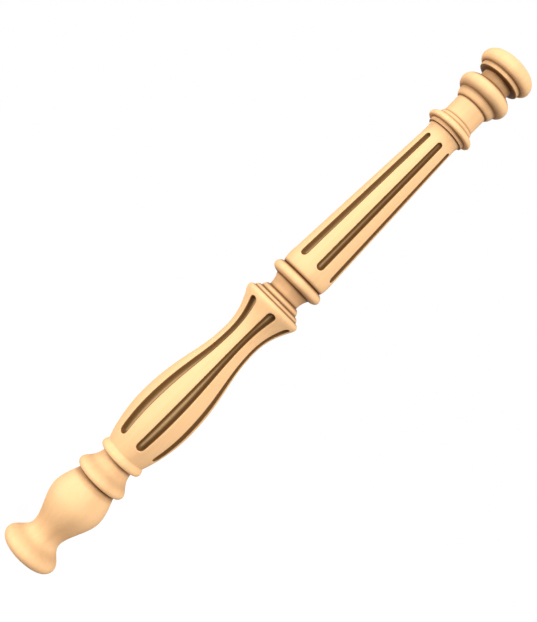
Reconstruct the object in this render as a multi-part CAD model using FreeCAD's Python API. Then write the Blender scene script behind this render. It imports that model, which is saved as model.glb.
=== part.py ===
import FreeCAD, Part
import math
import os

# Turned and fluted stair baluster, one piece of wood.
# Millimetres. +Z runs up the turning axis and the origin is the middle of the foot's flat underside.

# Overall size: the tapered shaft takes up what the mouldings leave of the height
height = 900.0

# Foot: a bell on a flat seat
foot_seat_diameter = 57.0
foot_diameter = 83.0
foot_edge_height = 11.5
bell_height = 29.5
waist_diameter = 46.5

# Bulb over the foot
bulb_rise_height = 56.0
bulb_diameter = 80.5
bulb_fall_height = 38.0
bulb_neck_diameter = 59.0

# Collar with a rounded lip and a cove above it
collar_lip_height = 7.5
collar_diameter = 76.5
collar_cove_height = 30.0
collar_neck_diameter = 48.0

# Ring that the vase stands on
base_ring_low_height = 6.5
base_ring_diameter = 66.5
base_ring_high_height = 8.5

# Vase: foot, belly, slender stem and flare up to the shoulder
vase_foot_diameter = 61.0
vase_low_height = 72.0
belly_diameter = 86.5
vase_high_height = 138.0
stem_diameter = 52.5
flare_height = 57.5
shoulder_diameter = 86.5

# Stepped quarter rounds from the shoulder in to the cove
shoulder_roll_height = 6.5
broad_step_diameter = 73.5
broad_step_height = 5.5
narrow_step_diameter = 60.5
narrow_step_height = 8.5
cove_diameter = 47.5
cove_height = 17.0

# Ring under the shaft
ring_neck_diameter = 57.0
ring_low_height = 8.0
ring_diameter = 78.5
ring_high_height = 9.0
ring_top_diameter = 62.0

# Tapered shaft
shaft_foot_height = 13.0
shaft_base_diameter = 69.0
shaft_top_diameter = 47.5

# Astragal over the shaft: a small flare, a fillet and a bead
shaft_flare_height = 7.0
shaft_flare_diameter = 51.0
fillet_height = 6.0
fillet_diameter = 56.0
bead_edge_height = 2.5
bead_diameter = 70.0
bead_round_height = 8.0
bead_top_diameter = 52.5

# Necking with a quarter round below and a band above
neck_step_height = 7.0
neck_diameter = 47.0
neck_height = 25.5
band_height = 12.5
band_diameter = 59.0

# Torus, upper neck, fillet and bun cap
torus_low_height = 10.5
torus_diameter = 76.0
torus_high_height = 14.0
cap_neck_diameter = 45.0
cap_neck_height = 12.0
cap_fillet_diameter = 63.5
cap_fillet_height = 6.5
cap_low_height = 7.5
cap_diameter = 80.5
cap_high_height = 16.0
cap_seat_diameter = 47.0

# Flutes: as many round the vase as round the shaft, of one angular width all the way up, one facing -Y
front_angle = -90.0
flute_count = 7
flute_angle = 18.4
shaft_flute_low_margin = 13.0
shaft_flute_high_margin = 13.0
vase_flute_low_margin = 24.5
vase_flute_high_margin = 11.5
vase_flute_section_count = 7
search_tolerance = 1e-9

# Blind dowel sockets on the axis in both ends
dowel_diameter = 12.0
dowel_depth = 40.0

# Share of each ogee's bend that its lower arc takes
bell_share = 0.45
bulb_rise_share = 0.5
collar_cove_share = 0.28
base_ring_share = 0.5
vase_share = 0.61
flare_share = 0.87

# Levels counted up from the foot
foot_level = foot_edge_height
waist_level = foot_level + bell_height
bulb_level = waist_level + bulb_rise_height
bulb_neck_level = bulb_level + bulb_fall_height
collar_level = bulb_neck_level + collar_lip_height
collar_neck_level = collar_level + collar_cove_height
base_ring_level = collar_neck_level + base_ring_low_height
vase_foot_level = base_ring_level + base_ring_high_height
belly_level = vase_foot_level + vase_low_height
stem_level = belly_level + vase_high_height
shoulder_level = stem_level + flare_height
broad_step_level = shoulder_level + shoulder_roll_height
narrow_step_level = broad_step_level + broad_step_height
cove_level = narrow_step_level + narrow_step_height
ring_neck_level = cove_level + cove_height
ring_level = ring_neck_level + ring_low_height
ring_top_level = ring_level + ring_high_height
shaft_base_level = ring_top_level + shaft_foot_height

# Levels counted down from the top
cap_level = height - cap_high_height
cap_low_level = cap_level - cap_low_height
cap_fillet_level = cap_low_level - cap_fillet_height
torus_top_level = cap_fillet_level - cap_neck_height
torus_level = torus_top_level - torus_high_height
band_top_level = torus_level - torus_low_height
band_level = band_top_level - band_height
neck_level = band_level - neck_height
bead_top_level = neck_level - neck_step_height
bead_level = bead_top_level - bead_round_height
bead_seat_level = bead_level - bead_edge_height
fillet_level = bead_seat_level - fillet_height
shaft_top_level = fillet_level - shaft_flare_height


def spot(diameter, level):
    return FreeCAD.Vector(diameter / 2, 0, level)


def straight(start, end):
    return Part.LineSegment(start, end).toShape()


def crown_arc(crown, edge):
    """Arc that is upright at its crown and ends at an edge, as far up or down as the edge lies."""
    across = edge.x - crown.x
    rise = edge.z - crown.z
    radius = math.copysign((across ** 2 + rise ** 2) / (2 * abs(across)), across)
    half_turn = math.asin(rise / abs(radius)) / 2
    middle = crown + FreeCAD.Vector(radius * (1 - math.cos(half_turn)), 0, abs(radius) * math.sin(half_turn))
    return Part.Arc(crown, middle, edge).toShape()


def moulding(crown, edge):
    """Round from a crown to an edge: a quarter circle and a flat where the edge lies further in than up."""
    across = edge.x - crown.x
    reach = abs(edge.z - crown.z)
    if abs(across) <= reach:
        return [crown_arc(crown, edge)]
    foot = FreeCAD.Vector(crown.x + math.copysign(reach, across), 0, edge.z)
    return [crown_arc(crown, foot), straight(foot, edge)]


def round_in(crown, edge):
    return moulding(crown, edge)


def round_out(edge, crown):
    return moulding(crown, edge)[::-1]


def ogee(low, high, low_share):
    """Two arcs that bend opposite ways and are upright at both ends."""
    across = high.x - low.x
    rise = high.z - low.z
    bend = (across ** 2 + rise ** 2) / (2 * abs(across))
    low_radius = low_share * bend
    turn = math.asin(rise / bend)
    step = math.copysign(low_radius * (1 - math.cos(turn)), across)
    middle = low + FreeCAD.Vector(step, 0, low_radius * math.sin(turn))
    return [crown_arc(low, middle), crown_arc(high, middle)]


def foot_and_bulb():
    seat = spot(foot_seat_diameter, 0)
    widest = spot(foot_diameter, foot_level)
    waist = spot(waist_diameter, waist_level)
    bulb = spot(bulb_diameter, bulb_level)
    return ([straight(spot(0, 0), seat)]
            + round_out(seat, widest)
            + ogee(widest, waist, bell_share)
            + ogee(waist, bulb, bulb_rise_share)
            + round_in(bulb, spot(bulb_neck_diameter, bulb_neck_level)))


def collar_and_base_ring():
    lip = spot(collar_diameter, collar_level)
    neck = spot(collar_neck_diameter, collar_neck_level)
    ring = spot(base_ring_diameter, base_ring_level)
    return (round_out(spot(bulb_neck_diameter, bulb_neck_level), lip)
            + ogee(lip, neck, collar_cove_share)
            + round_out(neck, ring)
            + ogee(ring, spot(vase_foot_diameter, vase_foot_level), base_ring_share))


def vase():
    belly = spot(belly_diameter, belly_level)
    stem = spot(stem_diameter, stem_level)
    return (round_out(spot(vase_foot_diameter, vase_foot_level), belly)
            + ogee(belly, stem, vase_share)
            + ogee(stem, spot(shoulder_diameter, shoulder_level), flare_share))


def shoulder_steps_and_cove():
    broad = spot(broad_step_diameter, broad_step_level)
    narrow = spot(narrow_step_diameter, narrow_step_level)
    cove = spot(cove_diameter, cove_level)
    return (round_in(spot(shoulder_diameter, shoulder_level), broad)
            + round_in(broad, narrow)
            + round_in(narrow, cove)
            + round_in(cove, spot(ring_neck_diameter, ring_neck_level)))


def ring_and_shaft_foot():
    ring = spot(ring_diameter, ring_level)
    top = spot(ring_top_diameter, ring_top_level)
    return (round_out(spot(ring_neck_diameter, ring_neck_level), ring)
            + round_in(ring, top)
            + round_out(top, spot(shaft_base_diameter, shaft_base_level)))


def shaft():
    return [straight(spot(shaft_base_diameter, shaft_base_level), spot(shaft_top_diameter, shaft_top_level))]


def astragal():
    flare = spot(shaft_flare_diameter, fillet_level)
    fillet = spot(fillet_diameter, fillet_level)
    bead_seat = spot(fillet_diameter, bead_seat_level)
    bead = spot(bead_diameter, bead_level)
    return (round_in(spot(shaft_top_diameter, shaft_top_level), flare)
            + [straight(flare, fillet), straight(fillet, bead_seat)]
            + round_out(bead_seat, bead)
            + round_in(bead, spot(bead_top_diameter, bead_top_level)))


def necking():
    neck = spot(neck_diameter, neck_level)
    band = spot(neck_diameter, band_level)
    return (round_in(spot(bead_top_diameter, bead_top_level), neck)
            + [straight(neck, band)]
            + round_out(band, spot(band_diameter, band_top_level)))


def torus_and_cap():
    torus = spot(torus_diameter, torus_level)
    neck = spot(cap_neck_diameter, torus_top_level)
    neck_top = spot(cap_neck_diameter, cap_fillet_level)
    fillet = spot(cap_fillet_diameter, cap_fillet_level)
    under_cap = spot(cap_fillet_diameter, cap_low_level)
    cap = spot(cap_diameter, cap_level)
    seat = spot(cap_seat_diameter, height)
    return (round_out(spot(band_diameter, band_top_level), torus)
            + round_in(torus, neck)
            + [straight(neck, neck_top), straight(neck_top, fillet), straight(fillet, under_cap)]
            + round_out(under_cap, cap)
            + round_in(cap, seat)
            + [straight(seat, spot(0, height))])


def turned_blank():
    outline = (foot_and_bulb() + collar_and_base_ring() + vase() + shoulder_steps_and_cove()
               + ring_and_shaft_foot() + shaft() + astragal() + necking() + torus_and_cap())
    outline.append(straight(spot(0, height), spot(0, 0)))
    half_section = Part.Face(Part.Wire(outline))
    # the revolve's seam lies under the front flute
    half_section.rotate(FreeCAD.Vector(0, 0, 0), FreeCAD.Vector(0, 0, 1), front_angle)
    return half_section.revolve(FreeCAD.Vector(0, 0, 0), FreeCAD.Vector(0, 0, 1), 360)


def place_on(edges, level):
    """Point and upward direction of the outline where it passes a level."""
    for edge in edges:
        low, high = sorted(edge.ParameterRange, key=lambda parameter: edge.valueAt(parameter).z)
        if edge.valueAt(low).z <= level <= edge.valueAt(high).z:
            while abs(high - low) > search_tolerance:
                middle = (low + high) / 2
                if edge.valueAt(middle).z < level:
                    low = middle
                else:
                    high = middle
            direction = edge.tangentAt(low)
            return edge.valueAt(low), direction if direction.z > 0 else -direction


def flute_cutter(edges, levels):
    """Round cutter along the outline, as wide as the flute's angle there, with a half ball at each end."""
    half_width = math.sin(math.radians(flute_angle / 2))
    circles = []
    for level in levels:
        centre, direction = place_on(edges, level)
        circles.append(Part.Circle(centre, direction, centre.x * half_width))
    run = Part.makeLoft([Part.Wire(circle.toShape()) for circle in circles], True)
    low, high = circles[0], circles[-1]
    low_ball = Part.makeSphere(low.Radius, low.Center, -low.Axis, 0, 90, 360)
    high_ball = Part.makeSphere(high.Radius, high.Center, high.Axis, 0, 90, 360)
    return [run, low_ball, high_ball]


def flutes():
    shaft_levels = [shaft_base_level + shaft_flute_low_margin, shaft_top_level - shaft_flute_high_margin]
    vase_low, vase_high = vase_foot_level + vase_flute_low_margin, shoulder_level - vase_flute_high_margin
    vase_step = (vase_high - vase_low) / (vase_flute_section_count - 1)
    vase_levels = [vase_low + vase_step * i for i in range(vase_flute_section_count)]
    patterns = flute_cutter(shaft(), shaft_levels) + flute_cutter(vase(), vase_levels)
    cutters = []
    for i in range(flute_count):
        turn = FreeCAD.Rotation(FreeCAD.Vector(0, 0, 1), front_angle + 360 * i / flute_count)
        for pattern in patterns:
            cutter = pattern.copy()
            cutter.Placement = FreeCAD.Placement(FreeCAD.Vector(), turn).multiply(cutter.Placement)
            cutters.append(cutter)
    return cutters


def dowel_sockets():
    floors = [FreeCAD.Vector(0, 0, 0), FreeCAD.Vector(0, 0, height - dowel_depth)]
    return [Part.makeCylinder(dowel_diameter / 2, dowel_depth, floor) for floor in floors]


os.makedirs("parts", exist_ok=True)
baluster = turned_blank()
for cutter in flutes() + dowel_sockets():
    baluster = baluster.cut(cutter)
baluster = baluster.Solids[0]
baluster.exportStep("parts/baluster.step")
print("baluster", baluster.isValid(), round(baluster.Volume), baluster.BoundBox, len(baluster.Faces))
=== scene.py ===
import math

import bpy
import numpy as np
from mathutils import Matrix, Vector
from mathutils.bvhtree import BVHTree


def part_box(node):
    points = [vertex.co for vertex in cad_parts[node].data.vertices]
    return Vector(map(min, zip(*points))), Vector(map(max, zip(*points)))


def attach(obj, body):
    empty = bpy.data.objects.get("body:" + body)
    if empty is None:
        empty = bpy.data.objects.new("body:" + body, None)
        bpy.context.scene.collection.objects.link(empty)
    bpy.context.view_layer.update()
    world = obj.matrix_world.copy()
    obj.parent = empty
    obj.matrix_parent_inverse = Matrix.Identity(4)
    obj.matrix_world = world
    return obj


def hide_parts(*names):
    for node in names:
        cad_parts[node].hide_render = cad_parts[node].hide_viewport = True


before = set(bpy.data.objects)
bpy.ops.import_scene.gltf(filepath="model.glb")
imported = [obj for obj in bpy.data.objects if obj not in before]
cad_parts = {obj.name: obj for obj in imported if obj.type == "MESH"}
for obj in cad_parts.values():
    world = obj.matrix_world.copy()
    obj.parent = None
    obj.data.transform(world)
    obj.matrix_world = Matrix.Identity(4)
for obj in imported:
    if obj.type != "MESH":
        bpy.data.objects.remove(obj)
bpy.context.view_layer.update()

mm = 0.001
nodeLow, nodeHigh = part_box("baluster")
fullHeight = (nodeHigh.z - nodeLow.z) / mm
print("frame loaded, baluster of", round(fullHeight, 1), "mm")


# The turner's template, from the foot up, in millimetres. Each cut has its kind, the diameter it ends at
# and its rise. An ogee also has the pull of its curve at the lower and upper end, as shares of the rise,
# and may have its lean at both. The shaft's rise is what the other cuts leave of the height.
template = {
    "socket": 12.0,
    "socketDepth": 40.0,
    "socketChamfer": 0.8,
    "seat": 57.0,
    "cuts": {
        "footEdge": ("roundOut", 83.0, 11.5),
        "footBell": ("ogee", 46.5, 29.5, 0.32, 0.47),
        "bulbRise": ("ogee", 80.5, 56.0, 0.295, 0.325),
        "bulbFall": ("ogee", 57.2, 40.0, 0.35, 0.27, 0.0, -0.35),
        "collarShelf": ("straight", 69.0, 0.0),
        "collarLip": ("roundOut", 76.5, 5.5),
        "collarCove": ("ogee", 48.0, 31.9, 0.22, 0.63),
        "baseRingShelf": ("straight", 59.5, 0.0),
        "baseRing": ("roundOut", 66.5, 4.6),
        "baseRingTop": ("ogee", 61.0, 8.5, 0.46, 0.46),
        "vaseLow": ("ogee", 86.5, 72.0, 0.27, 0.36, 0.38, 0.0),
        "vaseHigh": ("ogee", 52.5, 138.0, 0.47, 0.36),
        "vaseFlare": ("ogee", 86.5, 57.5, 0.57, 0.11),
        "shoulderRoll": ("roundIn", 73.5, 6.0),
        "broadStep": ("roundIn", 60.5, 5.7),
        "narrowStep": ("roundIn", 47.5, 8.4),
        "cove": ("ogee", 57.0, 18.1, 0.475, 0.305, 0.0, 0.57),
        "ringLow": ("roundOut", 78.5, 7.3),
        "ringHigh": ("roundIn", 62.0, 8.7),
        "shaftFoot": ("roundOut", 69.0, 13.3),
        "shaft": ("straight", 47.5, None),
        "shaftFlare": ("ogee", 51.0, 7.5, 0.45, 0.10),
        "filletShelf": ("straight", 56.0, 0.0),
        "fillet": ("straight", 56.0, 5.5),
        "beadShelf": ("straight", 64.5, 0.0),
        "beadEdge": ("roundOut", 70.0, 3.0),
        "beadRound": ("roundIn", 52.5, 7.1),
        "neckStep": ("roundIn", 47.0, 7.0),
        "neck": ("straight", 47.0, 26.8),
        "band": ("roundOut", 59.0, 11.6),
        "torusLow": ("roundOut", 76.0, 11.1),
        "torusHigh": ("roundIn", 45.0, 12.6),
        "capNeck": ("straight", 45.0, 12.1),
        "capShelf": ("straight", 62.0, 1.0),
        "capFilletEdge": ("roundOut", 63.5, 1.2),
        "capFillet": ("straight", 63.5, 5.0),
        "capLow": ("roundOut", 80.0, 8.2),
        "capHigh": ("roundIn", 47.0, 15.3),
    },
    "roundSteps": 8,            # steps up a round
    "ogeeSteps": 10,            # the fewest up an ogee
    "ogeeStepRise": 3.0,        # and how far each goes up a tall one
    "cornerAngle": 22.0,        # a bend sharper than this is an edge, in degrees
    "arris": 0.45,              # how far a worn edge is rounded back
    "arrisShare": 0.45,         # and the most of the step beside it that this takes
    "creaseRows": (1.2, 2.6),   # rows beside an inward corner, for the painted shade there
    "creaseShare": 0.8,         # and the most of the step beside it that they take
    "mergeGap": 0.005,
    "smoothAngle": 38.0,
}

# The flutes, a run of them on the vase and one on the shaft, in millimetres and degrees. The margins are
# from the ends of the fluted cuts to the centres of a flute's round ends.
fluting = {
    "count": 7,
    "halfAngle": 9.2,       # from a flute's middle to its edge
    "front": -90.0,         # the middle of one flute
    "runs": {
        "vase": {"cuts": ("vaseLow", "vaseHigh", "vaseFlare"), "lowMargin": 24.5, "highMargin": 11.5},
        "shaft": {"cuts": ("shaft",), "lowMargin": 13.0, "highMargin": 13.0},
    },
    "lineStep": 0.5,        # between points of the line that a run follows
    "slopeStep": 0.2,       # each way along that line, to find its slope
    "rowStep": 5.0,         # between rows, away from the round ends
    "rowClear": 1.0,        # rows round an end keep this far from the end of the run
    # edge loops across half a flute and the land beside it, in half widths of the flute
    "loops": (0.0, 0.30, 0.56, 0.77, 0.88, 0.95, 0.99, 1.02, 1.06, 1.09, 1.12, 1.40, 1.85, 2.32),
    "rimInside": 0.95,      # the worn rim runs from here to the next
    "rimOutside": 1.12,
    "slideEnd": 2.32,       # loops bend round the end of a flute out to here
    "matchDigits": 3,       # decimals to which matching vertices agree
}

# Where shade is painted on
shadePainting = {
    # marks on a cut, painted shade in creases, under overhangs and on undersides: how far up the cut, how
    # far the painted shade reaches in millimetres and how dark it is
    "marks": {
        "footBell": ((0.45, 7.0, 0.22),),
        "bulbRise": ((0.34, 20.0, 0.20),),
        "bulbFall": ((0.88, 5.0, 0.38), (1.0, 1.0, 0.9)),
        "collarCove": ((0.38, 6.5, 0.26), (0.97, 0.9, 0.7)),
        "shoulderRoll": ((0.91, 1.7, 0.85),),
        "broadStep": ((0.85, 2.1, 1.0),),
        "narrowStep": ((0.86, 2.4, 1.0),),
        "cove": ((0.45, 7.0, 0.22), (1.0, 2.1, 0.95)),
        "ringHigh": ((0.85, 3.0, 1.0),),
        "shaftFlare": ((0.3, 8.0, 0.17), (1.0, 1.1, 1.0)),
        "fillet": ((1.0, 0.6, 0.85),),
        "beadRound": ((0.84, 1.8, 0.85),),
        "neckStep": ((0.85, 1.5, 0.65),),
        "neck": ((0.93, 5.0, 0.12), (1.0, 1.3, 0.8)),
        "band": ((0.8, 4.5, 0.28), (1.0, 3.0, 0.45)),
        "torusLow": ((0.45, 4.0, 0.30),),
        "torusHigh": ((0.59, 3.4, 1.0), (0.9, 2.0, 0.9)),
        "capNeck": ((0.4, 6.0, 0.46), (0.97, 0.9, 0.95)),
        "capFillet": ((0.1, 2.4, 0.28), (1.0, 1.6, 0.7)),
    },
    "ledgeSpread": 2.0,     # how much further the painted shade spreads over a ledge than up a wall
    "fluteWidth": 6.9,      # half width of the flute that the painted shade colours in the flutes are for, in millimetres
    "openRays": 128,        # rays that look out from a vertex
    "rayLift": 0.05,        # and their start above it, in millimetres
}


def cutPoints(cut, low, rise, steps):
    kind = cut[0]
    high = np.array([cut[1] / 2, low[1] + rise])
    t = np.linspace(0, 1, steps + 1)[:, None]
    if kind == "straight":
        return low + (high - low) * t
    if kind == "ogee":
        lowLean, highLean = cut[5:] if len(cut) > 5 else (0.0, 0.0)
        lowHandle = low + cut[3] * rise * np.array([lowLean, 1.0])
        highHandle = high - cut[4] * rise * np.array([highLean, 1.0])
        return (low * (1 - t) ** 3 + lowHandle * 3 * t * (1 - t) ** 2
                + highHandle * 3 * t ** 2 * (1 - t) + high * t ** 3)
    swing, lag = np.sin(t * math.pi / 2), 1 - np.cos(t * math.pi / 2)
    shares = (swing, lag) if kind == "roundOut" else (lag, swing)
    return low + (high - low) * np.hstack(shares)


def cutSteps(cut, rise):
    if cut[0] == "straight":
        return 1
    if cut[0] == "ogee":
        return max(template["ogeeSteps"], round(rise / template["ogeeStepRise"]))
    return template["roundSteps"]


def walkedAlong(line):
    return np.concatenate([[0.0], np.cumsum(np.hypot(*np.diff(line, axis=0).T))])


def pointsAlong(line, distances):
    walked = walkedAlong(line)
    return np.column_stack([np.interp(distances, walked, line[:, i]) for i in (0, 1)])


def halfWidth(radius):
    return radius * math.sin(math.radians(fluting["halfAngle"]))


def planFlutes(line, run):
    # where a run's round ends are along its line, and how wide half a flute is there
    walked = walkedAlong(line)
    lowEnd = np.interp(line[0, 1] + run["lowMargin"], line[:, 1], walked)
    highEnd = np.interp(line[-1, 1] - run["highMargin"], line[:, 1], walked)
    lowReach, highReach = halfWidth(pointsAlong(line, [lowEnd, highEnd])[:, 0])
    # rows close together round the ends and wide apart between them
    loops, step, clear = np.array(fluting["loops"]), fluting["rowStep"], fluting["rowClear"]
    below, above = lowEnd - loops[::-1] * lowReach, highEnd + loops * highReach
    below, above = below[below > clear], above[above < walked[-1] - clear]
    stops = ((0.0, below[0]), (lowEnd, highEnd), (above[-1], walked[-1]))
    before, between, after = [np.linspace(a, b, max(2, round((b - a) / step) + 1)) for a, b in stops]
    rows = np.concatenate([before[:-1], below, between[1:-1], above, after[1:]])
    plan = {
        "line": line,
        "lowEnd": lowEnd,
        "highEnd": highEnd,
        "lowReach": lowReach,
        "highReach": highReach,
    }
    return rows, plan


def nearCorner(corner, side, reaches):
    length = np.hypot(*side)
    furthest = template["creaseShare"] * length
    return [corner + side * (reach / length) for reach in reaches if reach < furthest]


def softenEdges(lines):
    # one line from all the cuts with a worn arris at each edge
    arris, most = template["arris"], template["arrisShare"]
    rows = [lines[0][0]]
    for line, following in zip(lines, lines[1:]):
        rows.extend(line[1:-1])
        corner = line[-1]
        before, after = corner - line[-2], following[1] - corner
        bend = math.atan2(before[0] * after[1] - before[1] * after[0], before @ after)
        if abs(bend) < math.radians(template["cornerAngle"]):
            rows.append(corner)
            continue
        start = corner - before * min(arris / np.hypot(*before), most)
        end = corner + after * min(arris / np.hypot(*after), most)
        worn = [start, start / 4 + corner / 2 + end / 4, end]
        if bend < 0:
            reaches = template["creaseRows"]
            worn = nearCorner(corner, -before, reaches[::-1]) + worn + nearCorner(corner, after, reaches)
        rows.extend(worn)
    rows.extend(lines[-1][1:])
    return np.array(rows)


def drawTemplate():
    cuts = template["cuts"]
    shaftRise = fullHeight - sum(cut[2] for cut in cuts.values() if cut[2] is not None)
    mouth, depth, chamfer = template["socket"] / 2, template["socketDepth"], template["socketChamfer"]
    footSocket = [
        (0.0, depth),
        (mouth, depth),
        (mouth, chamfer),
        (mouth + chamfer, 0.0),
        (template["seat"] / 2, 0.0),
    ]
    lines = [np.array(pair) for pair in zip(footSocket, footSocket[1:])]
    runOf = {name: run for run in fluting["runs"].values() for name in run["cuts"]}
    flutedLine, plans, shadeSpots = [], [], []
    here = lines[-1][-1]
    for name, cut in cuts.items():
        rise = shaftRise if cut[2] is None else cut[2]
        if name not in runOf:
            line = cutPoints(cut, here, rise, cutSteps(cut, rise))
            lines.append(line)
            for share, reach, darkness in shadePainting["marks"].get(name, ()):
                spot = pointsAlong(line, [share * walkedAlong(line)[-1]])[0]
                shadeSpots.append((spot, reach, darkness))
            here = line[-1]
            continue
        # the cuts of a fluted run join into one line, which gets its rows from the flutes
        flutedLine.extend(cutPoints(cut, here, rise, round(rise / fluting["lineStep"])))
        here = flutedLine[-1]
        if name == runOf[name]["cuts"][-1]:
            rows, plan = planFlutes(np.array(flutedLine), runOf[name])
            lines.append(pointsAlong(plan["line"], rows))
            plans.append(plan)
            flutedLine = []
    headSocket = [tuple(here)] + [(r, fullHeight - z) for r, z in footSocket[-2::-1]]
    lines.extend(np.array(pair) for pair in zip(headSocket, headSocket[1:]))
    return softenEdges(lines), plans, shadeSpots


def turnBlank(outline, columns):
    # the outline is drawn by extruding one vertex up it, then spun round the axis
    bpy.ops.object.select_all(action="DESELECT")
    bpy.ops.mesh.primitive_plane_add(size=mm, location=(0, 0, 0))
    piece = bpy.context.object
    piece.name = piece.data.name = "turnedBaluster"
    bpy.ops.object.mode_set(mode="EDIT")
    bpy.ops.mesh.select_all(action="SELECT")
    bpy.ops.mesh.merge(type="CENTER")
    path = np.column_stack([outline[:, 0], np.zeros(len(outline)), outline[:, 1]]) * mm
    bpy.ops.transform.translate(value=path[0])
    for step in np.diff(path, axis=0):
        bpy.ops.mesh.extrude_region_move(TRANSFORM_OT_translate={"value": step})
    bpy.ops.mesh.select_all(action="SELECT")
    bpy.ops.mesh.spin(
        steps=columns, angle=2 * math.pi, center=(0, 0, 0), axis=(0, 0, 1), use_auto_merge=True)
    bpy.ops.mesh.select_all(action="SELECT")
    bpy.ops.mesh.remove_doubles(threshold=template["mergeGap"] * mm)
    bpy.ops.mesh.normals_make_consistent(inside=False)
    bpy.ops.object.mode_set(mode="OBJECT")
    return piece


def pointsOf(mesh):
    points = np.empty(len(mesh.vertices) * 3)
    mesh.vertices.foreach_get("co", points)
    return points.reshape(-1, 3) / mm


def addAttribute(mesh, name, values):
    mesh.attributes.new(name, "FLOAT", "POINT").data.foreach_set("value", values.astype(np.float32))


def fluteDepth(across):
    # round floor, with the rim worn over, as a share of the flute's half width
    inside, outside = fluting["rimInside"], fluting["rimOutside"]
    floor = np.sqrt(np.clip(1 - np.minimum(across, inside) ** 2, 0, 1))
    rimDepth = math.sqrt(1 - inside ** 2)
    rimSlope = -inside / rimDepth * (outside - inside)
    t = np.clip((across - inside) / (outside - inside), 0, 1)
    rim = rimDepth * (2 * t ** 3 - 3 * t ** 2 + 1) + rimSlope * (t ** 3 - 2 * t ** 2 + t)
    return np.where(across < inside, floor, rim)


def cutRun(plan, across, radius, level, fromFlute):
    # moves the vertices of one run by changing these arrays in place
    line = plan["line"]
    inRun = (level >= line[0, 1]) & (level <= line[-1, 1])
    along = np.interp(level[inRun], line[:, 1], walkedAlong(line))
    below, above = along < plan["lowEnd"], along > plan["highEnd"]
    end = np.where(below, plan["lowEnd"], plan["highEnd"])
    reach = np.where(below, -plan["lowReach"], plan["highReach"])
    past = np.where(below | above, (along - end) / reach, 0.0)
    x = across[inRun]
    # squares of loops round a flute's end become circles, less and less on the land around it
    tiny = 1e-6     # keeps the middle of an end from dividing by zero
    square, straight = np.maximum(np.abs(x), past), np.maximum(np.hypot(x, past), tiny)
    slideEnd, rimOutside = fluting["slideEnd"], fluting["rimOutside"]
    fade = np.clip((slideEnd - square) / (slideEnd - rimOutside), 0, 1)
    pull = 1 + fade * (square / straight - 1)
    along = np.where(below | above, end + past * pull * reach, along)
    spot = pointsAlong(line, along)
    rise = pointsAlong(line, along + fluting["slopeStep"]) - pointsAlong(line, along - fluting["slopeStep"])
    rise /= np.hypot(rise[:, 0], rise[:, 1])[:, None]
    width = np.where(below | above, np.abs(reach), halfWidth(spot[:, 0]))
    depth = width * fluteDepth(square)
    across[inRun] = x * pull
    radius[inRun] = spot[:, 0] - depth * rise[:, 1]
    level[inRun] = spot[:, 1] + depth * rise[:, 0]
    # painted shade reaches as far down from the rim in a narrow flute as in a wide one
    fromFlute[inRun] = 1 + (square - 1) * width / shadePainting["fluteWidth"]


def cutFlutes(piece, plans):
    mesh = piece.data
    points = pointsOf(mesh)
    radius, level = np.hypot(points[:, 0], points[:, 1]), points[:, 2].copy()
    # every edge loop up the piece slides round to its place across a flute or a land
    halfAngle, pitch = fluting["halfAngle"], 360 / fluting["count"]
    half = list(fluting["loops"])
    offsets = np.array(half + [pitch / 2 / halfAngle] + [-x for x in half[:0:-1]])
    turn = np.degrees(np.arctan2(points[:, 1], points[:, 0]))
    column = np.round(turn / (pitch / len(offsets))).astype(int)
    across = offsets[column % len(offsets)]
    middle = fluting["front"] + pitch * ((column + len(half) - 1) // len(offsets))
    # vertices at one height and as far from a flute's middle match each other all round
    places = np.round(np.column_stack([radius, level, np.abs(across)]), fluting["matchDigits"])
    matches = np.unique(places, axis=0, return_inverse=True)[1].ravel()
    fromFlute = np.full(len(points), offsets.max())
    for plan in plans:
        cutRun(plan, across, radius, level, fromFlute)
    angle = np.radians(middle + across * halfAngle)
    points = np.column_stack([radius * np.cos(angle), radius * np.sin(angle), level])
    mesh.vertices.foreach_set("co", (points * mm).ravel())
    mesh.update()
    addAttribute(mesh, "fromFlute", fromFlute)
    return matches


def paintShadeSpots(piece, shadeSpots):
    # paints shade into the colour round each mark, darkest at the mark and fading with distance from it
    points = pointsOf(piece.data)
    radius, level = np.hypot(points[:, 0], points[:, 1]), points[:, 2]
    clear = np.ones(len(points))
    for spot, reach, darkness in shadeSpots:
        away = np.hypot((radius - spot[0]) / shadePainting["ledgeSpread"], level - spot[1])
        clear *= 1 - darkness * np.exp(-(away / reach) ** 2)
    addAttribute(piece.data, "paintedShade", 1 - clear)


def measureOpenness(piece, matches):
    # how much of its surroundings each vertex sees past the piece itself, from 0 to 1, which sets how much
    # shade is painted on there
    mesh = piece.data
    tree = BVHTree.FromObject(piece, bpy.context.evaluated_depsgraph_get())
    count = shadePainting["openRays"]
    spread = (np.arange(count) + 0.5) / count
    goldenAngle = math.pi * (3 - math.sqrt(5))
    turn, lean = np.arange(count) * goldenAngle, np.sqrt(spread)
    rays = np.column_stack([lean * np.cos(turn), lean * np.sin(turn), np.sqrt(1 - spread)])
    firsts = np.unique(matches, return_index=True)[1]
    share = np.empty(len(firsts))
    for i, first in enumerate(firsts):
        vertex = mesh.vertices[int(first)]
        start = vertex.co + vertex.normal * shadePainting["rayLift"] * mm
        axes = np.array(vertex.normal.to_track_quat("Z", "Y").to_matrix())
        share[i] = sum(tree.ray_cast(start, Vector(ray))[0] is None for ray in rays @ axes.T) / count
    addAttribute(mesh, "openness", share[matches])
    print("openness measured at", len(firsts), "vertices")


def makeBaluster():
    outline, plans, shadeSpots = drawTemplate()
    columns = fluting["count"] * 2 * len(fluting["loops"])
    piece = turnBlank(outline, columns)
    print("turned", len(outline), "rows by", columns, "columns")
    matches = cutFlutes(piece, plans)
    paintShadeSpots(piece, shadeSpots)
    measureOpenness(piece, matches)
    bpy.ops.object.shade_smooth_by_angle(angle=math.radians(template["smoothAngle"]))
    return piece


baluster = makeBaluster()
print("baluster:", len(baluster.data.vertices), "vertices,", len(baluster.data.polygons), "faces")


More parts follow.
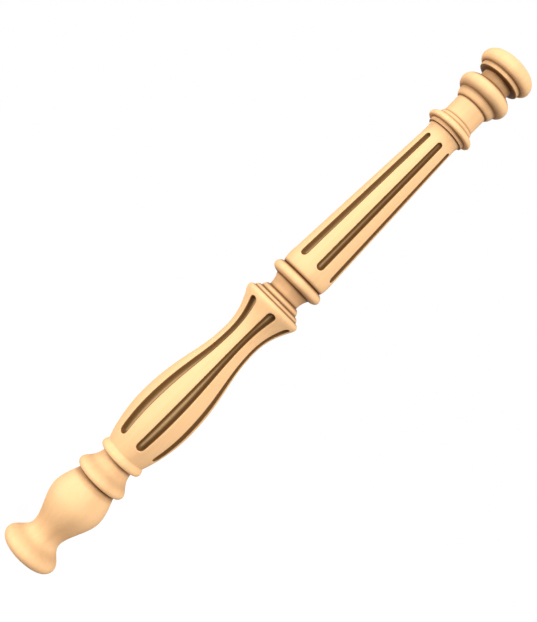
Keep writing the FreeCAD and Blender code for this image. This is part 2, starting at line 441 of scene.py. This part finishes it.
def newNode(tree, kind, settings=None, **inputs):
    # an input is given by its name, or by its number after an underscore
    node = tree.nodes.new(kind)
    for name, value in (settings or {}).items():
        setattr(node, name, value)
    for name, value in inputs.items():
        socket = node.inputs[int(name[1:])] if name[0] == "_" else node.inputs[name]
        if isinstance(value, bpy.types.NodeSocket):
            tree.links.new(value, socket)
        else:
            socket.default_value = value
    return node


def readAttribute(tree, name):
    return newNode(tree, "ShaderNodeAttribute", {"attribute_name": name}).outputs["Fac"]


def mixColours(tree, share, first, second, blend="MIX"):
    settings = {"data_type": "RGBA", "blend_type": blend}
    return newNode(tree, "ShaderNodeMix", settings, _0=share, _6=first, _7=second).outputs[2]


def rescale(tree, value, source=(0.0, 1.0), target=(0.0, 1.0), easing="LINEAR"):
    node = newNode(tree, "ShaderNodeMapRange", {"interpolation_type": easing}, Value=value)
    for name, limit in zip(("From Min", "From Max", "To Min", "To Max"), (*source, *target)):
        node.inputs[name].default_value = limit
    return node.outputs["Result"]


def stretchedNoise(tree, place, scale, detail):
    spot = newNode(tree, "ShaderNodeMapping", Vector=place, Scale=scale).outputs["Vector"]
    return newNode(tree, "ShaderNodeTexNoise", Vector=spot, Scale=1.0, Detail=detail).outputs["Fac"]


def colourRamp(tree, value, stops):
    node = newNode(tree, "ShaderNodeValToRGB", Fac=value)
    elements = node.color_ramp.elements
    while len(elements) < len(stops):
        elements.new(1.0)
    for element, (position, colour) in zip(elements, stops):
        element.position = position
        element.color = colour
    return node.outputs["Color"]


# Pale satin wood, with shade painted where it is least open, in the creases and in the flutes. Colours are
# linear.
paleWood = {
    # colour by openness: the most open is the wood's own colour, anything less open gets painted shade
    "shadeByOpenness": (
        (0.45, (0.18, 0.081, 0.025, 1)),
        (0.55, (0.55, 0.314, 0.140, 1)),
        (0.65, (0.72, 0.422, 0.201, 1)),
        (0.75, (0.86, 0.509, 0.250, 1)),
        (0.85, (0.895, 0.532, 0.266, 1)),
        (0.93, (0.99, 0.606, 0.305, 1)),
    ),
    # the colour of the shade painted in creases, under overhangs and on undersides
    "paintedShade": (0.14, 0.050, 0.012, 1),
    # painted shade across a flute, lighter on the floor that faces the light and darkest on the walls, from
    # its floor to its rim, in half widths
    "shadeAcrossFlute": (
        (0.00, (0.58, 0.365, 0.175, 1)),
        (0.22, (0.46, 0.285, 0.132, 1)),
        (0.42, (0.23, 0.135, 0.054, 1)),
        (0.62, (0.165, 0.080, 0.026, 1)),
        (0.80, (0.145, 0.064, 0.016, 1)),
        (0.95, (0.15, 0.068, 0.019, 1)),
        (1.00, (0.20, 0.107, 0.041, 1)),
    ),
    "rim": (0.99, 1.075),               # the painted shade fades out over the rim, between these
    "fibreScale": (160, 160, 5),        # long fibres up the piece
    "fibreDetail": 4.0,
    "streakRange": (0.35, 0.7),         # from no streak to a full one
    "streak": (0.955, 0.94, 0.92, 1),   # the darker fibres, as a share of the colour
    "roughness": (0.56, 0.66),          # of the dense and of the open fibres
    "specular": 0.1,
    "markScale": (12, 12, 1800),        # fine marks of the turning tool
    "markDetail": 2.0,
    "markStrength": 0.06,
    "markHeight": 0.0002,
}


def makePaleWood():
    material = bpy.data.materials.new("paleWood")
    material.use_nodes = True
    tree = material.node_tree
    shader = tree.nodes["Principled BSDF"]
    place = newNode(tree, "ShaderNodeTexCoord").outputs["Object"]
    fromFlute = readAttribute(tree, "fromFlute")
    # painted shade on the turned faces and in the flutes
    openShaded = colourRamp(tree, readAttribute(tree, "openness"), paleWood["shadeByOpenness"])
    turned = mixColours(tree, readAttribute(tree, "paintedShade"), openShaded, paleWood["paintedShade"], "DARKEN")
    fluteShade = colourRamp(tree, fromFlute, paleWood["shadeAcrossFlute"])
    onLand = rescale(tree, fromFlute, paleWood["rim"], easing="SMOOTHSTEP")
    shadePainted = mixColours(tree, onLand, fluteShade, turned)
    # fibres
    fibres = stretchedNoise(tree, place, paleWood["fibreScale"], paleWood["fibreDetail"])
    streaks = rescale(tree, fibres, paleWood["streakRange"])
    wood = mixColours(tree, streaks, shadePainted, paleWood["streak"], "MULTIPLY")
    tree.links.new(wood, shader.inputs["Base Color"])
    roughness = rescale(tree, fibres, target=paleWood["roughness"])
    tree.links.new(roughness, shader.inputs["Roughness"])
    shader.inputs["Specular IOR Level"].default_value = paleWood["specular"]
    # tool marks
    marks = stretchedNoise(tree, place, paleWood["markScale"], paleWood["markDetail"])
    bump = newNode(tree, "ShaderNodeBump", Height=marks, Strength=paleWood["markStrength"],
                   Distance=paleWood["markHeight"])
    tree.links.new(bump.outputs["Normal"], shader.inputs["Normal"])
    return material


baluster.data.materials.append(makePaleWood())
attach(baluster, "root")
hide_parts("baluster")
# the flutes' dark colour is painted shade
print("finish: pale wood with stained flutes")


# The viewer: a level camera rolled so that the baluster lies across the picture from corner to corner
viewer = {
    "distance": 1.344,
    "level": 0.4482,
    "aside": -12.47,        # how far the viewer stands round from the front flute, in degrees
    "slide": 0.00026,       # and to the right of the axis
    "roll": 45.034,
    "focus": 1033.0,        # focal length in pixels of a picture this tall
    "pictureHeight": 622.0,
    "sensor": 36.0,
    "clipStart": 0.05,
}


def placeViewer():
    turn = math.radians(fluting["front"] + viewer["aside"])
    outward = Vector((math.cos(turn), math.sin(turn), 0))
    right = Vector((-outward.y, outward.x, 0))
    up = Vector((0, 0, 1))
    roll = math.radians(viewer["roll"])
    pictureRight = right * math.cos(roll) + up * math.sin(roll)
    pictureUp = up * math.cos(roll) - right * math.sin(roll)
    bpy.ops.object.camera_add()
    camera = bpy.context.object
    facing = Matrix((pictureRight, pictureUp, outward)).transposed().to_4x4()
    spot = outward * viewer["distance"] + right * viewer["slide"] + up * viewer["level"]
    camera.matrix_world = Matrix.Translation(spot) @ facing
    camera.data.sensor_fit = "VERTICAL"
    camera.data.sensor_height = viewer["sensor"]
    camera.data.lens = viewer["focus"] * viewer["sensor"] / viewer["pictureHeight"]
    camera.data.clip_start = viewer["clipStart"]
    bpy.context.scene.camera = camera
    return outward, right, up


outward, right, up = placeViewer()
print("camera placed")


# Studio: white floor, a dim even surround and three large soft lamps, one at the viewer's left, one in front
# and a weak one behind on the right. A lamp's level is how bright it makes a white surface that faces it,
# and its place is in degrees from the viewer.
studio = {
    "surround": 0.29,
    "backdrop": 1.0,        # the surround as the camera sees it
    "lamps": {
        "left": {"level": 0.79, "left": 68.0, "up": 0.0, "wide": 1.7, "tall": 0.85},
        "front": {"level": 0.91, "left": -18.0, "up": 34.0, "wide": 2.4, "tall": 2.4},
        "right": {"level": 0.12, "left": -112.0, "up": 0.0, "wide": 1.7, "tall": 0.85},
    },
    "lampDistance": 6.0,
    "floorSize": 14.0,
    "floorPale": (0.9, 0.9, 0.9, 1),
    "floorBounce": (0.36, 0.36, 0.36, 1),   # the floor as it lights the object
    "floorGlow": 1.1,           # of the floor as the camera sees it, in place of part of its paint
    "glowShare": (0.86, 1.0),   # near the object and further away
    "glowRadius": (0.1, 0.9),   # where it is near, and where far
}


def seenDirectly(tree):
    rays = newNode(tree, "ShaderNodeLightPath").outputs
    seen = rays["Is Camera Ray"]
    for name in ("Is Glossy Ray", "Is Transmission Ray"):
        either = newNode(tree, "ShaderNodeMath", {"operation": "MAXIMUM"}, _0=seen, _1=rays[name])
        seen = either.outputs[0]
    return seen


def lightSurround():
    world = bpy.data.worlds.new("studioSurround")
    bpy.context.scene.world = world
    world.use_nodes = True
    tree = world.node_tree
    strength = newNode(tree, "ShaderNodeMix", {"data_type": "FLOAT"}, _0=seenDirectly(tree),
                       _2=studio["surround"], _3=studio["backdrop"])
    background = tree.nodes["Background"]
    background.inputs["Color"].default_value = (1, 1, 1, 1)
    tree.links.new(strength.outputs[0], background.inputs["Strength"])


def placeLamps():
    aim = up * viewer["level"]
    for name, setting in studio["lamps"].items():
        left, lift = math.radians(setting["left"]), math.radians(setting["up"])
        bearing = outward * math.cos(left) - right * math.sin(left)
        spot = aim + (bearing * math.cos(lift) + up * math.sin(lift)) * studio["lampDistance"]
        facing = (aim - spot).to_track_quat("-Z", "Y").to_euler()
        bpy.ops.object.light_add(type="AREA", location=spot, rotation=facing)
        lamp = bpy.context.object
        lamp.name = name + "Lamp"
        lamp.data.shape = "RECTANGLE"
        lamp.data.size = setting["wide"]
        lamp.data.size_y = setting["tall"]
        lamp.data.energy = setting["level"] * (math.pi * studio["lampDistance"]) ** 2


def makeFloorWhite():
    material = bpy.data.materials.new("floorWhite")
    material.use_nodes = True
    tree = material.node_tree
    tree.nodes.remove(tree.nodes["Principled BSDF"])
    seen = seenDirectly(tree)
    shade = mixColours(tree, seen, studio["floorBounce"], studio["floorPale"])
    paint = newNode(tree, "ShaderNodeBsdfDiffuse", Color=shade)
    glow = newNode(tree, "ShaderNodeEmission", Strength=studio["floorGlow"])
    place = newNode(tree, "ShaderNodeTexCoord").outputs["Object"]
    away = newNode(tree, "ShaderNodeVectorMath", {"operation": "LENGTH"}, _0=place).outputs["Value"]
    glowing = rescale(tree, away, studio["glowRadius"], studio["glowShare"], "SMOOTHSTEP")
    share = newNode(tree, "ShaderNodeMath", {"operation": "MULTIPLY"}, _0=seen, _1=glowing).outputs[0]
    mixed = newNode(tree, "ShaderNodeMixShader", _0=share, _1=paint.outputs[0], _2=glow.outputs[0])
    tree.links.new(mixed.outputs[0], tree.nodes["Material Output"].inputs["Surface"])
    return material


def layFloor():
    bpy.ops.object.select_all(action="DESELECT")
    bpy.ops.mesh.primitive_plane_add(size=studio["floorSize"], location=(0, 0, nodeLow.z))
    floor = bpy.context.object
    floor.name = "studioFloor"
    floor.data.materials.append(makeFloorWhite())


lightSurround()
placeLamps()
layFloor()
bpy.context.scene.view_settings.view_transform = "Standard"
print("studio lit")
